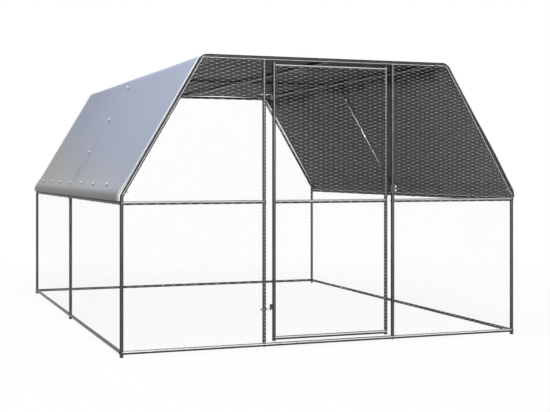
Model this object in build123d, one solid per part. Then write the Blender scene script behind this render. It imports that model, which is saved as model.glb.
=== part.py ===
"""Walk-in chicken coop: tube hoops, rails, wire nets, a hung door with a flap latch, a roof cover.

Millimetres. X runs across the front, +Y runs back from the front, +Z is up, the feet are on Z = 0.
"""
import math
import os

from build123d import *

# Frame of bent tubes
overall_width = 3000.0
overall_depth = 4000.0
tube_diameter = 25.0
tube_wall = 1.2
leg_bend_height = 1062.0
bow_height = 2005.0
bow_flat_half = 930.0
leg_bend_radius = 45.0
bow_bend_radius = 60.0
bottom_rail_height = 31.0
eave_rail_drop = 46.0
roof_rail_inset = 85.0

# Slip joint of leg and bow
joint_shoulder = 28.0
joint_bolt_reach = 16.0
spigot_length = 50.0
spigot_wall = 1.3
spigot_play = 0.1

# Fits
seat_gap = 0.1
cope_reach = 7.0

# Rail bolts, plugs and studs
bolt_diameter = 6.0
bolt_hole_play = 0.3
hex_across_flats = 10.0
hex_head_height = 4.0
nut_height = 5.0
bolt_spare = 0.5
plug_gap = 0.9
plug_length = 22.0
thread_play = 0.05
dome_head_diameter = 14.0
dome_head_height = 2.5
bolt_tail = 12.0

# Door
jamb_offset = 491.5
hinge_side_offset = 72.5
latch_side_offset = 54.0
door_bottom_gap = 10.5
door_top_gap = 13.5
door_bottom_rail_rise = 19.0
door_top_rail_drop = 21.0

# Hinges
eye_clear = 0.8
lower_hinge_rise = 244.0
upper_hinge_drop = 250.0
eye_wire_radius = 3.5
eye_ring_radius = 7.7
eye_shank_radius = 3.3
eye_nut_flats = 13.0
eye_nut_height = 6.5
eye_tail = 30.0
hinge_pin_radius = 3.8
hinge_pin_overrun = 6.0
lug_height = 28.0
lug_back = 4.5
lug_depth = 15.0
lug_gap = 1.0

# Latch
latch_rise = 86.0
collar_height = 50.0
collar_thickness = 2.0
ear_reach = 33.0
ear_split = 2.0
latch_bolt_reach = 24.0
latch_bolt_spacing = 29.0
latch_pin_side = 7.5
flap_front_gap = 1.8
latch_pin_radius = 2.0
latch_play = 0.3
knuckle_radius = 4.0
knuckle_height = 12.0
flap_height = 64.0
flap_length = 32.0
flap_thickness = 2.0
flap_clear = 1.5

# Netting
mesh_pitch = 25.3
mesh_twist = 20.0
mesh_slant = 18.0
net_strand = 6.0
net_border = 10.0
net_thickness = 2.0
net_gap = 0.4
net_head_clear = 2.0
net_lap = 5.0
net_gaps = 120

# Roof cover
cover_thickness = 1.5
cover_gap = 0.5
cover_front_gap = 2.0
cover_edge_rise = 8.0
eyelet_bore = 10.0
eyelet_flange = 18.0
eyelet_flange_thickness = 1.0
eyelet_barrel_wall = 0.8
eave_tie_reach = 68.0
eave_tie_first = 545.5
eave_tie_spacing = 512.0
bow_tie_top_gap = 95.0
bow_tie_spacing = 320.0
bow_tie_count = 3
cord_radius = 2.0
knot_radius = 6.0
cord_bend = 7.0

tube_radius = tube_diameter / 2
tube_bore = tube_radius - tube_wall
seat = tube_radius + seat_gap
half_width = overall_width / 2 - tube_radius
half_depth = overall_depth / 2 - tube_radius
eave_rail_height = leg_bend_height - eave_rail_drop
roof_rail_offset = bow_flat_half - roof_rail_inset
slope_run = half_width - bow_flat_half
slope_rise = bow_height - leg_bend_height
slope_length = math.hypot(slope_run, slope_rise)
bolt_radius = bolt_diameter / 2
bolt_stagger = bolt_radius + bolt_spare
plug_setback = seat + plug_gap

left_jamb = -jamb_offset
right_jamb = jamb_offset
left_stile = left_jamb + hinge_side_offset
right_stile = right_jamb - latch_side_offset
door_bottom = bottom_rail_height + tube_radius + door_bottom_gap
door_top = bow_height - tube_radius - door_top_gap
door_bottom_rail = door_bottom + door_bottom_rail_rise
door_top_rail = door_top - door_top_rail_drop
hinge_x = left_stile - tube_radius - eye_ring_radius - eye_wire_radius - eye_clear
front = -half_depth

along_x = Vector(1, 0, 0)
along_y = Vector(0, 1, 0)
along_z = Vector(0, 0, 1)


def slope_up(side):
    """Unit vector up the slope of the bow on one side."""
    return Vector(-side * slope_run, 0, slope_rise) / slope_length


def slope_out(side):
    """Unit vector square to that slope, out of the coop."""
    return Vector(side * slope_rise, 0, slope_run) / slope_length


def on_slope(side, y, reach):
    """Point on the bow axis, so far up the slope from the leg bend."""
    return Vector(side * half_width, y, leg_bend_height) + slope_up(side) * reach


def rod(start, end, radius):
    """Round bar from point to point."""
    run = Vector(end) - Vector(start)
    return extrude(Plane(origin=start, z_dir=run) * Circle(radius), run.length)


def pipe(start, end, radius=tube_radius, bore=tube_bore):
    """Straight tube from point to point."""
    run = Vector(end) - Vector(start)
    return extrude(Plane(origin=start, z_dir=run) * (Circle(radius) - Circle(bore)), run.length)


def hexagon(start, direction, flats, height):
    """Hexagon prism that grows from a point."""
    section = RegularPolygon(flats / 2, 6, major_radius=False)
    return extrude(Plane(origin=start, z_dir=direction) * section, height)


def bent_tube(points, bend):
    """Tube swept along a line with rounded corners."""
    path = FilletPolyline(*points, radius=bend)
    ring = Circle(tube_radius) - Circle(tube_bore)
    return sweep(Plane(origin=path @ 0, z_dir=path % 0) * ring, path=path)


def cord(points):
    """Round cord along a line with rounded corners."""
    path = FilletPolyline(*points, radius=cord_bend)
    return sweep(Plane(origin=path @ 0, z_dir=path % 0) * Circle(cord_radius), path=path)


def coped_tube(start, end, post, reach):
    """Tube between two crossing tubes, its ends cut round them."""
    run = (end - start).normalized()
    tube = pipe(start + run * reach, end - run * reach)
    for point in (start, end):
        tube -= rod(point - post * tube_diameter, point + post * tube_diameter, seat)
    return tube


os.makedirs("parts", exist_ok=True)
pieces = {}
frame_bolts = []
tube_plugs = []
mid_studs = []
slope_bolts = []
slope_nuts = []


def drill(name, point, direction):
    """Bolt hole right through a tube."""
    reach = direction * tube_diameter
    pieces[name] -= rod(point - reach, point + reach, bolt_radius + bolt_hole_play)


def plug(point, run, offset):
    """Threaded plug in a rail end that butts on a post."""
    body = rod(point + run * plug_setback, point + run * (plug_setback + plug_length), tube_bore - seat_gap)
    thread = rod(point + offset, point + offset + run * tube_diameter * 2, bolt_radius + thread_play)
    tube_plugs.append(body - thread)


def dome_head(start, direction):
    """Low domed bolt head."""
    head = rod(start, start + direction * dome_head_height, dome_head_diameter / 2)
    return fillet(head.edges().sort_by(Axis(start, direction))[-1], dome_head_height / 2)


def bolt_rail(name, point, run, offset, domed=False):
    """Bolt through a post into the plug of the rail that starts there, with a hexagon or domed head."""
    drill(name, point + offset, run)
    plug(point, run, offset)
    head_seat = point + offset - run * seat
    head = dome_head(head_seat, -run) if domed else hexagon(head_seat, -run, hex_across_flats, hex_head_height)
    shank = rod(head_seat, point + offset + run * (plug_setback + plug_length), bolt_radius)
    frame_bolts.append(head + shank)


def stud_rails(name, point, offset):
    """Stud through a middle tube that joins the rails of both bays."""
    drill(name, point + offset, along_y)
    plug(point, along_y, offset)
    plug(point, -along_y, offset)
    reach = along_y * (plug_setback + plug_length)
    mid_studs.append(rod(point + offset - reach, point + offset + reach, bolt_radius))


# Three hoops, each of two legs and a bow that slips over them
hoops = {"front": front, "mid": 0.0, "rear": half_depth}
sides = {"left": -1, "right": 1}
for row, y in hoops.items():
    ends = {}
    for hand, side in sides.items():
        foot = Vector(side * half_width, y, 0)
        bend = Vector(side * half_width, y, leg_bend_height)
        up = slope_up(side)
        out = slope_out(side)
        shoulder = on_slope(side, y, joint_shoulder)
        ends[hand] = shoulder + up * seat_gap
        leg = bent_tube((foot, bend, shoulder), leg_bend_radius)
        spigot_radius = tube_bore - spigot_play
        spigot_bore = spigot_radius - spigot_wall
        step_radius = (tube_radius + tube_bore) / 2
        leg += pipe(shoulder - up * spigot_wall * 2, shoulder, step_radius, spigot_bore)
        leg += pipe(shoulder - up * spigot_wall * 2, shoulder + up * spigot_length, spigot_radius, spigot_bore)
        pieces[f"{row}_{hand}_leg"] = leg
    corners = [Vector(side * bow_flat_half, y, bow_height) for side in (-1, 1)]
    bow = f"{row}_bow"
    pieces[bow] = bent_tube((ends["left"], *corners, ends["right"]), bow_bend_radius)
    for hand, side in sides.items():
        out = slope_out(side)
        centre = on_slope(side, y, joint_shoulder + joint_bolt_reach)
        drill(bow, centre, out)
        drill(f"{row}_{hand}_leg", centre, out)
        outer_seat = centre + out * seat
        inner_seat = centre - out * seat
        tail = inner_seat - out * (nut_height + bolt_tail)
        slope_bolts.append(dome_head(outer_seat, out) + rod(outer_seat, tail, bolt_radius))
        nut = hexagon(inner_seat, -out, hex_across_flats, nut_height)
        slope_nuts.append(nut - rod(inner_seat + out, tail, bolt_radius + thread_play))

# Bottom rails across the front and the rear, bolted through the legs
low = -along_z * bolt_stagger
high = along_z * bolt_stagger
for row in ("front", "rear"):
    start = Vector(-half_width, hoops[row], bottom_rail_height)
    end = Vector(half_width, hoops[row], bottom_rail_height)
    pieces[f"{row}_bottom_rail"] = coped_tube(start, end, along_z, cope_reach)
    bolt_rail(f"{row}_left_leg", start, along_x, low)
    bolt_rail(f"{row}_right_leg", end, -along_x, low)

# Side rails at the bottom and at the eave, in two bays
for hand, side in sides.items():
    for level, height in (("bottom", bottom_rail_height), ("eave", eave_rail_height)):
        stations = {row: Vector(side * half_width, y, height) for row, y in hoops.items()}
        for bay in (("front", "mid"), ("mid", "rear")):
            name = f"{hand}_{level}_rail_{'front' if bay[0] == 'front' else 'rear'}"
            pieces[name] = coped_tube(stations[bay[0]], stations[bay[1]], along_z, seat)
        bolt_rail(f"front_{hand}_leg", stations["front"], along_y, high)
        bolt_rail(f"rear_{hand}_leg", stations["rear"], -along_y, high)
        stud_rails(f"mid_{hand}_leg", stations["mid"], high)

# Roof rails at the ridge and along both top corners
for place, x in (("left", -roof_rail_offset), ("ridge", 0.0), ("right", roof_rail_offset)):
    stations = {row: Vector(x, y, bow_height) for row, y in hoops.items()}
    pieces[f"{place}_roof_rail_front"] = coped_tube(stations["front"], stations["mid"], along_x, cope_reach)
    pieces[f"{place}_roof_rail_rear"] = coped_tube(stations["mid"], stations["rear"], along_x, cope_reach)
    bolt_rail("front_bow", stations["front"], along_y, Vector(0, 0, 0))
    bolt_rail("rear_bow", stations["rear"], -along_y, Vector(0, 0, 0))
    stud_rails("mid_bow", stations["mid"], Vector(0, 0, 0))

# Door jambs between the front bottom rail and the front bow, and the front eave rails
for hand, side, x in (("left", -1, left_jamb), ("right", 1, right_jamb)):
    jamb = f"{hand}_jamb"
    foot = Vector(x, front, bottom_rail_height)
    head = Vector(x, front, bow_height)
    pieces[jamb] = coped_tube(foot, head, along_x, cope_reach)
    bolt_rail("front_bottom_rail", foot, along_z, Vector(0, 0, 0))
    bolt_rail("front_bow", head, -along_z, Vector(0, 0, 0), domed=True)
    outer = Vector(side * half_width, front, eave_rail_height)
    inner = Vector(x, front, eave_rail_height)
    pieces[f"front_eave_rail_{hand}"] = coped_tube(outer, inner, along_z, cope_reach)
    bolt_rail(f"front_{hand}_leg", outer, along_x * -side, low)
    bolt_rail(jamb, inner, along_x * side, low)

# Door frame, welded of two stiles and three rails
for hand, x in (("left", left_stile), ("right", right_stile)):
    pieces[f"door_{hand}_stile"] = pipe(Vector(x, front, door_bottom), Vector(x, front, door_top))
for level, height in (("bottom", door_bottom_rail), ("mid", eave_rail_height), ("top", door_top_rail)):
    start = Vector(left_stile, front, height)
    end = Vector(right_stile, front, height)
    pieces[f"door_{level}_rail"] = coped_tube(start, end, along_z, cope_reach)

# Hinges: an eye bolt through the jamb, and a lug with a pin on the stile
eye_bolts = []
eye_nuts = []
for level, height, turn in (
    ("lower", bottom_rail_height + lower_hinge_rise, 1),
    ("upper", bow_height - upper_hinge_drop, -1),
):
    axis_point = Vector(hinge_x, front, height)
    jamb_point = Vector(left_jamb, front, height)
    ring = Location(axis_point) * Torus(eye_ring_radius, eye_wire_radius)
    shank = rod(axis_point - along_x * eye_ring_radius, jamb_point - along_x * eye_tail, eye_shank_radius)
    eye_bolts.append(ring + shank)
    bore = rod(jamb_point - along_x * eye_tail, jamb_point + along_x * eye_tail, eye_shank_radius + seat_gap)
    pieces["left_jamb"] -= bore
    for way in (-1, 1):
        nut = hexagon(jamb_point + along_x * way * seat, along_x * way, eye_nut_flats, eye_nut_height)
        eye_nuts.append(nut - bore)
    lug_foot = axis_point + along_z * turn * (eye_wire_radius + lug_gap)
    stile_reach = left_stile - hinge_x
    block = Box(
        lug_back + stile_reach, lug_depth, lug_height,
        align=(Align.MIN, Align.CENTER, Align.MIN if turn > 0 else Align.MAX),
    )
    block = Location(lug_foot - along_x * lug_back) * block
    stile_axis = Vector(left_stile, front, height)
    block -= rod(stile_axis - along_z * lug_height * 2, stile_axis + along_z * lug_height * 2, seat)
    pin_end = axis_point - along_z * turn * (eye_wire_radius + hinge_pin_overrun)
    pieces[f"{level}_hinge_lug"] = block + rod(pin_end, lug_foot + along_z * turn * lug_height / 2, hinge_pin_radius)
pieces["hinge_eye_bolts"] = Compound(children=eye_bolts)
pieces["hinge_nuts"] = Compound(children=eye_nuts)

# Latch: a strap collar bolted round the right jamb, with a flap on a pin at its front
latch_height = eave_rail_height + latch_rise
latch_pin_out = tube_radius + latch_pin_side
latch_pin_front = tube_radius + net_gap + net_thickness + flap_front_gap + flap_thickness / 2
latch_base = Vector(right_jamb, front, latch_height - collar_height / 2)
collar_bore = seat
collar_outer = collar_bore + collar_thickness
collar = pipe(latch_base, latch_base + along_z * collar_height, collar_outer, collar_bore)
ears = Box(
    ear_reach - collar_bore, ear_split + 2 * collar_thickness, collar_height,
    align=(Align.MIN, Align.CENTER, Align.MIN),
)
split = Box(ear_reach, ear_split, collar_height, align=(Align.MIN, Align.CENTER, Align.MIN))
collar += Location(latch_base + along_x * collar_bore) * ears
collar -= rod(latch_base, latch_base + along_z * collar_height, collar_bore)
collar -= Location(latch_base + along_x * collar_bore / 2) * split
pin_base = latch_base + Vector(-latch_pin_out, -latch_pin_front, 0)
arm_run = Vector(-latch_pin_out, -latch_pin_front, 0).normalized()
arm_length = math.hypot(latch_pin_out, latch_pin_front) - collar_bore - collar_thickness / 2
arm_plane = Plane(origin=latch_base, x_dir=arm_run, z_dir=(0, 0, 1))
arm_start = collar_bore + collar_thickness / 2
arm = arm_plane * Pos(arm_start, 0, 0) * Box(
    arm_length, knuckle_radius, collar_height, align=(Align.MIN, Align.CENTER, Align.MIN)
)
collar += arm + rod(pin_base, pin_base + along_z * collar_height, knuckle_radius)
flap_gap = Location(pin_base + along_z * knuckle_height) * Cylinder(
    knuckle_radius + flap_clear, collar_height - 2 * knuckle_height, align=(Align.CENTER, Align.CENTER, Align.MIN)
)
collar -= flap_gap
collar -= rod(pin_base - along_z, pin_base + along_z * (collar_height + 1), latch_pin_radius + seat_gap)
latch_bolts = []
latch_nuts = []
for way in (-1, 1):
    spot = Vector(right_jamb + latch_bolt_reach, front, latch_height + way * latch_bolt_spacing / 2)
    ear_face = ear_split / 2 + collar_thickness + seat_gap
    collar -= rod(spot - along_y * tube_radius, spot + along_y * tube_radius, bolt_radius + bolt_hole_play)
    front_seat = spot - along_y * ear_face
    rear_seat = spot + along_y * ear_face
    tail = rear_seat + along_y * (nut_height + bolt_radius)
    latch_bolts.append(dome_head(front_seat, -along_y) + rod(front_seat, tail, bolt_radius))
    nut = hexagon(rear_seat, along_y, hex_across_flats, nut_height)
    latch_nuts.append(nut - rod(front_seat, tail, bolt_radius + thread_play))
pieces["latch_collar"] = collar
pieces["latch_bolts"] = Compound(children=latch_bolts)
pieces["latch_nuts"] = Compound(children=latch_nuts)
head_base = pin_base - along_z * seat_gap
pin = rod(head_base, head_base + along_z * (collar_height + 2 * seat_gap + latch_pin_radius), latch_pin_radius)
pin_head = rod(head_base, head_base - along_z * latch_pin_radius, knuckle_radius)
pieces["latch_pin"] = pin + pin_head
flap_centre = pin_base + along_z * collar_height / 2
flap_start = knuckle_radius + flap_clear
plate = Location(flap_centre + along_x * flap_start) * Box(
    flap_length - flap_start, flap_thickness, flap_height, align=(Align.MIN, Align.CENTER, Align.CENTER)
)
plate = fillet(plate.edges().filter_by(Axis.Y).group_by(Axis.X)[-1], knuckle_radius)
knuckle_half = collar_height / 2 - knuckle_height - latch_play
tongue = Location(flap_centre) * Box(
    flap_start + flap_thickness, flap_thickness, 2 * knuckle_half, align=(Align.MIN, Align.CENTER, Align.CENTER)
)
flap_knuckle = rod(flap_centre - along_z * knuckle_half, flap_centre + along_z * knuckle_half, knuckle_radius)
flap_bore = rod(flap_centre - along_z * flap_height, flap_centre + along_z * flap_height, latch_pin_radius + latch_play)
pieces["latch_flap"] = plate + tongue + flap_knuckle - flap_bore


def inside(polygon, point, along):
    """Keep the part of a polygon on the left of a line."""
    kept = []
    for here, there in zip(polygon, polygon[1:] + polygon[:1]):
        side_here = along.X * (here[1] - point.Y) - along.Y * (here[0] - point.X)
        side_there = along.X * (there[1] - point.Y) - along.Y * (there[0] - point.X)
        if side_here >= 0:
            kept.append(here)
        if side_here * side_there < 0:
            share = side_here / (side_here - side_there)
            kept.append(tuple(a + (b - a) * share for a, b in zip(here, there)))
    return kept


def area(polygon):
    """Area of a polygon that runs counter-clockwise."""
    pairs = zip(polygon, polygon[1:] + polygon[:1])
    return sum(a[0] * b[1] - b[0] * a[1] for a, b in pairs) / 2


def hexagon_net(outline, plane):
    """Wire net as one holed sheet; its cells are drawn larger than the real ones."""
    column = mesh_twist + mesh_slant
    factor = math.sqrt(area(outline) / (net_gaps * column * mesh_pitch))
    pitch = mesh_pitch * factor
    twist = mesh_twist * factor
    slant = mesh_slant * factor
    half_pitch = pitch / 2
    tall = half_pitch - net_strand / 2
    tip = twist / 2 + slant - net_strand * math.hypot(half_pitch, slant) / pitch
    flat = tip - slant * tall / half_pitch
    cell = [(tip, 0), (flat, tall), (-flat, tall), (-tip, 0), (-flat, -tall), (flat, -tall)]
    us = [u for u, v in outline]
    vs = [v for u, v in outline]
    middle = ((min(us) + max(us)) / 2, (min(vs) + max(vs)) / 2)
    columns = math.ceil((max(us) - min(us)) / 2 / (twist + slant)) + 1
    rows = math.ceil((max(vs) - min(vs)) / 2 / pitch) + 1
    holes = []
    for i in range(-columns, columns + 1):
        for j in range(-rows, rows + 1):
            u = middle[0] + i * (twist + slant)
            v = middle[1] + (j + 0.5 * (i % 2)) * pitch
            hole = [(u + a, v + b) for a, b in cell]
            for here, there in zip(outline, outline[1:] + outline[:1]):
                along = (Vector(*there) - Vector(*here)).normalized()
                edge = Vector(*here) + Vector(-along.Y, along.X) * net_border
                hole = inside(hole, edge, along) if len(hole) > 2 else []
            if len(hole) > 2 and area(hole) > area(cell) / 8:
                holes.append(Wire.make_polygon([Vector(a, b) for a, b in hole]))
    sheet = Face(Wire.make_polygon([Vector(u, v) for u, v in outline]), holes)
    return extrude(plane * sheet, net_thickness)


# Netting on the outside of the tubes
net_off = tube_radius + net_gap
net_inset = hex_across_flats / 2 + net_head_clear
net_low = bottom_rail_height - net_lap
net_top = bow_height - net_inset
leg_edge = half_width - net_inset
slope_lean = slope_out(1)
slope_shift = Vector(slope_lean.X, slope_lean.Z) * net_inset
bend_z = leg_bend_height + (slope_shift.X - net_inset) * slope_rise / slope_run - slope_shift.Y
top_x = bow_flat_half - slope_shift.X - (net_inset - slope_shift.Y) * -slope_run / slope_rise
front_plane = Plane(origin=(0, front - net_off, 0), x_dir=(1, 0, 0), z_dir=(0, -1, 0))
rear_plane = Plane(origin=(0, half_depth + net_off, 0), x_dir=(-1, 0, 0), z_dir=(0, 1, 0))
right_outline = [
    (right_jamb - net_lap, net_low), (leg_edge, net_low), (leg_edge, bend_z),
    (top_x, net_top), (right_jamb - net_lap, net_top),
]
left_outline = [(-u, v) for u, v in reversed(right_outline)]
rear_outline = [
    (-leg_edge, net_low), (leg_edge, net_low), (leg_edge, bend_z),
    (top_x, net_top), (-top_x, net_top), (-leg_edge, bend_z),
]
side_edge = half_depth - net_inset
side_top = eave_rail_height + net_lap
side_outline = [(-side_edge, net_low), (side_edge, net_low), (side_edge, side_top), (-side_edge, side_top)]
door_outline = [
    (left_stile - net_lap, door_bottom_rail - net_lap), (right_stile + net_lap, door_bottom_rail - net_lap),
    (right_stile + net_lap, door_top_rail + net_lap), (left_stile - net_lap, door_top_rail + net_lap),
]
pieces["front_left_net"] = hexagon_net(left_outline, front_plane)
latch_cut = Box(
    2 * (collar_outer + net_lap), tube_diameter, collar_height + 2 * flap_clear,
    align=(Align.CENTER, Align.MAX, Align.CENTER),
)
pieces["front_right_net"] = hexagon_net(right_outline, front_plane)
pieces["front_right_net"] -= Location(Vector(right_jamb, front, latch_height)) * latch_cut
pieces["door_net"] = hexagon_net(door_outline, front_plane)
pieces["rear_net"] = hexagon_net(rear_outline, rear_plane)
for hand, side in sides.items():
    side_plane = Plane(origin=(side * (half_width + net_off), 0, 0), x_dir=(0, side, 0), z_dir=(side, 0, 0))
    pieces[f"{hand}_net"] = hexagon_net(side_outline, side_plane)


def cover_line(offset):
    """Line of the cover round the hoops, so far off the tube axes."""
    lean = slope_out(1)
    eave_reach = offset * (lean.X - 1) * slope_length / slope_run
    bend = Vector(half_width, leg_bend_height) + Vector(lean.X, lean.Z) * offset
    bend += Vector(-slope_run, slope_rise) / slope_length * eave_reach
    corner_reach = offset * (1 - lean.Z) * slope_length / slope_rise
    corner = Vector(bow_flat_half, bow_height) + Vector(lean.X, lean.Z) * offset
    corner += Vector(-slope_run, slope_rise) / slope_length * corner_reach
    edge = Vector(half_width + offset, eave_rail_height + cover_edge_rise)
    right = [(p.X, p.Y) for p in (edge, bend, corner)]
    left = [(-x, z) for x, z in reversed(right)]
    return FilletPolyline(*right, *left, radius=bow_bend_radius + offset)


# Roof cover from eave to eave, with eyelets and cords
cover_inner = tube_radius + dome_head_height + cover_gap
cover_outer = cover_inner + cover_thickness
under = cover_line(cover_inner)
over = cover_line(cover_outer)
section = make_face([under, over, Line(under @ 0, over @ 0), Line(under @ 1, over @ 1)])
cover_end = half_depth - cover_front_gap
eave_tie_count = int((2 * cover_end - eave_tie_first) // eave_tie_spacing) + 1
cover_plane = Plane(origin=(0, cover_end, 0), x_dir=(1, 0, 0), z_dir=(0, -1, 0))
cover = extrude(cover_plane * section, 2 * cover_end)
barrel_radius = eyelet_bore / 2 + eyelet_barrel_wall
knot_rise = cover_outer + eyelet_flange_thickness + knot_radius
hook = tube_radius + cord_radius + cord_bend / 10
eyelets = []
ties = []
spots = []
for side in sides.values():
    out = slope_out(side)
    for i in range(eave_tie_count):
        y = -cover_end + eave_tie_first + i * eave_tie_spacing
        spot = on_slope(side, y, eave_tie_reach)
        rail = Vector(side * half_width, y, eave_rail_height)
        bend_in = spot - out * tube_diameter
        inner = along_x * -side * hook
        spots.append((spot, out))
        line = (spot + out * knot_rise, bend_in, rail + inner + along_z * hook, rail + inner - along_z * hook)
        ties.append(cord((*line, rail - along_z * hook)) + Location(line[0]) * Sphere(knot_radius))
    for i in range(bow_tie_count):
        spot = on_slope(side, hook, slope_length - bow_tie_top_gap - i * bow_tie_spacing)
        spots.append((spot, out))
        below = spot - out * hook
        line = (spot + out * knot_rise, below, below - along_y * hook * 2)
        ties.append(cord(line) + Location(line[0]) * Sphere(knot_radius))
for spot, out in spots:
    cover -= rod(spot, spot + out * tube_diameter, barrel_radius + seat_gap)
    top = spot + out * (cover_outer + seat_gap)
    base = spot + out * (cover_inner - seat_gap)
    eyelet = pipe(top, top + out * eyelet_flange_thickness, eyelet_flange / 2, eyelet_bore / 2)
    eyelet += pipe(base - out * eyelet_barrel_wall, top + out * eyelet_barrel_wall, barrel_radius, eyelet_bore / 2)
    eyelet += pipe(base - out * eyelet_barrel_wall, base, eyelet_flange / 2 - seat_gap, eyelet_bore / 2)
    eyelets.append(eyelet)
pieces["roof_cover"] = cover
pieces["cover_eyelets"] = Compound(children=eyelets)
pieces["cover_ties"] = Compound(children=ties)

pieces["frame_bolts"] = Compound(children=frame_bolts)
pieces["tube_plugs"] = Compound(children=tube_plugs)
pieces["mid_studs"] = Compound(children=mid_studs)
pieces["slope_bolts"] = Compound(children=slope_bolts)
pieces["slope_nuts"] = Compound(children=slope_nuts)

for name, shape in pieces.items():
    export_step(shape, f"parts/{name}.step")
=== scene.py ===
import math

import bpy
from mathutils import Matrix, Vector, noise


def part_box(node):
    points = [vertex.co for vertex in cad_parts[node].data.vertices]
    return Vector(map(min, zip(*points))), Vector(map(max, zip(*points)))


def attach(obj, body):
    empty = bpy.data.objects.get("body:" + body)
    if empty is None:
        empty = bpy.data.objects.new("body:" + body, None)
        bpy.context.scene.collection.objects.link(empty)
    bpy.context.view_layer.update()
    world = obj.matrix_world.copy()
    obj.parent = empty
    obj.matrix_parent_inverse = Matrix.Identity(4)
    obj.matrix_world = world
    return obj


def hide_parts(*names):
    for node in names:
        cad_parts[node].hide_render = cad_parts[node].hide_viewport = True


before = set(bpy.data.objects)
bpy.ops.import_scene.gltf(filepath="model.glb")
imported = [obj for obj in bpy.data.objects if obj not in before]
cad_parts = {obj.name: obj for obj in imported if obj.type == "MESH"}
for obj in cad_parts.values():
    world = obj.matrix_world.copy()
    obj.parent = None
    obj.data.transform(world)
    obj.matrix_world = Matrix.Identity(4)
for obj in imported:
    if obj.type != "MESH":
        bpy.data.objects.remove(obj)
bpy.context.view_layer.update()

# Camera
# Level, left of the door and a little above the eaves. The lens and the downward shift were fitted to the
# corners of the tubes in the photograph.
EYE = (-2.996, -8.9825, 1.2278)
TURN_RIGHT = math.radians(20.278)
bpy.ops.object.camera_add(location=EYE, rotation=(math.pi / 2, 0, -TURN_RIGHT))
camera = bpy.context.object
camera.data.sensor_width = 36.0
camera.data.lens = 70.51
camera.data.shift_y = -0.0634
camera.data.clip_end = 200.0
bpy.context.scene.camera = camera


# Studio
# White ground and white surround, one broad lamp high above and one behind the camera. A long strip behind
# the camera and two narrow spots near the ground show only in shiny metal, as bright lines along the tubes.
# The white is for camera and mirror rays, so it adds no light.
def linear(hex_colour):
    """sRGB hex to the linear colour that shaders take."""
    parts = [int(hex_colour[i:i + 2], 16) / 255 for i in (1, 3, 5)]
    return tuple(c / 12.92 if c <= 0.04045 else ((c + 0.055) / 1.055) ** 2.4 for c in parts) + (1.0,)


def add(tree, kind, links=(), values=(), **settings):
    """Add a node with its settings, its socket values and the links that feed it."""
    node = tree.nodes.new(kind)
    for name, value in settings.items():
        setattr(node, name, value)
    for socket, value in dict(values).items():
        node.inputs[socket].default_value = value
    for socket, source in dict(links).items():
        tree.links.new(source, node.inputs[socket])
    return node


def bare_material(name):
    """A new material and its node tree, with nothing in it."""
    material = bpy.data.materials.new(name)
    material.use_nodes = True
    material.node_tree.nodes.clear()
    return material, material.node_tree


def ray_is_seen(tree):
    """1 for rays from the camera, from mirrors and through clear things, else 0."""
    path = add(tree, "ShaderNodeLightPath")
    either = add(tree, "ShaderNodeMath", {0: path.outputs["Is Camera Ray"], 1: path.outputs["Is Glossy Ray"]},
                 operation="MAXIMUM")
    return add(tree, "ShaderNodeMath", {0: either.outputs[0], 1: path.outputs["Is Transmission Ray"]},
               operation="MAXIMUM").outputs[0]


def deselect():
    """Leave nothing selected, in object mode."""
    if bpy.context.mode != "OBJECT":
        bpy.ops.object.mode_set(mode="OBJECT")
    bpy.ops.object.select_all(action="DESELECT")


WHITE = linear("#FFFFFF")
AMBIENT = 0.22
world = bpy.data.worlds.new("white_studio")
bpy.context.scene.world = world
world.use_nodes = True
tree = world.node_tree
tree.nodes.clear()
fill_light = add(tree, "ShaderNodeBackground", values={"Color": WHITE, "Strength": AMBIENT})
surround = add(tree, "ShaderNodeBackground", values={"Color": WHITE, "Strength": 1.0})
shown = add(tree, "ShaderNodeMixShader",
            {0: ray_is_seen(tree), 1: fill_light.outputs[0], 2: surround.outputs[0]})
add(tree, "ShaderNodeOutputWorld", {"Surface": shown.outputs[0]})

# Matt white paper: to the eye plain white, with a faint soft shadow close to the coop. The light that it throws
# back is that of a greyer sheet.
FLOOR_SIZE = 120.0
SHADOW_SHARE = 0.06
SHADOW_FULL = 2.5
SHADOW_GONE = 6.0
deselect()
bpy.ops.mesh.primitive_plane_add(size=FLOOR_SIZE, location=(0, 0, 0))
floor = bpy.context.object
floor.name = "studio_floor"
paper, tree = bare_material("white_paper_floor")
bounce = add(tree, "ShaderNodeBsdfDiffuse", values={"Color": linear("#787878")})
matt = add(tree, "ShaderNodeBsdfDiffuse", values={"Color": linear("#FAFAFA")})
glow = add(tree, "ShaderNodeEmission", values={"Color": WHITE, "Strength": 1.0})
place = add(tree, "ShaderNodeTexCoord")
reach = add(tree, "ShaderNodeVectorMath", {0: place.outputs["Object"]}, operation="LENGTH")
near = add(tree, "ShaderNodeMapRange", {"Value": reach.outputs["Value"]},
           {"From Min": SHADOW_FULL, "From Max": SHADOW_GONE, "To Min": 1.0 - SHADOW_SHARE, "To Max": 1.0})
seen = add(tree, "ShaderNodeMixShader", {0: near.outputs[0], 1: matt.outputs[0], 2: glow.outputs[0]})
mixed = add(tree, "ShaderNodeMixShader", {0: ray_is_seen(tree), 1: bounce.outputs[0], 2: seen.outputs[0]})
add(tree, "ShaderNodeOutputMaterial", {"Surface": mixed.outputs[0]})
floor.data.materials.append(paper)


def hung_light(kind, place, aim, power):
    """A light of a kind at a place, turned to a point."""
    deselect()
    bpy.ops.object.light_add(type=kind, location=place)
    light = bpy.context.object
    light.data.energy = power
    light.rotation_euler = (Vector(aim) - Vector(place)).to_track_quat("-Z", "Y").to_euler()
    return light


def soft_box(place, aim, width, height, power):
    """A flat lamp that lights softly."""
    light = hung_light("AREA", place, aim, power)
    light.data.shape = "RECTANGLE"
    light.data.size = width
    light.data.size_y = height
    return light


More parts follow.
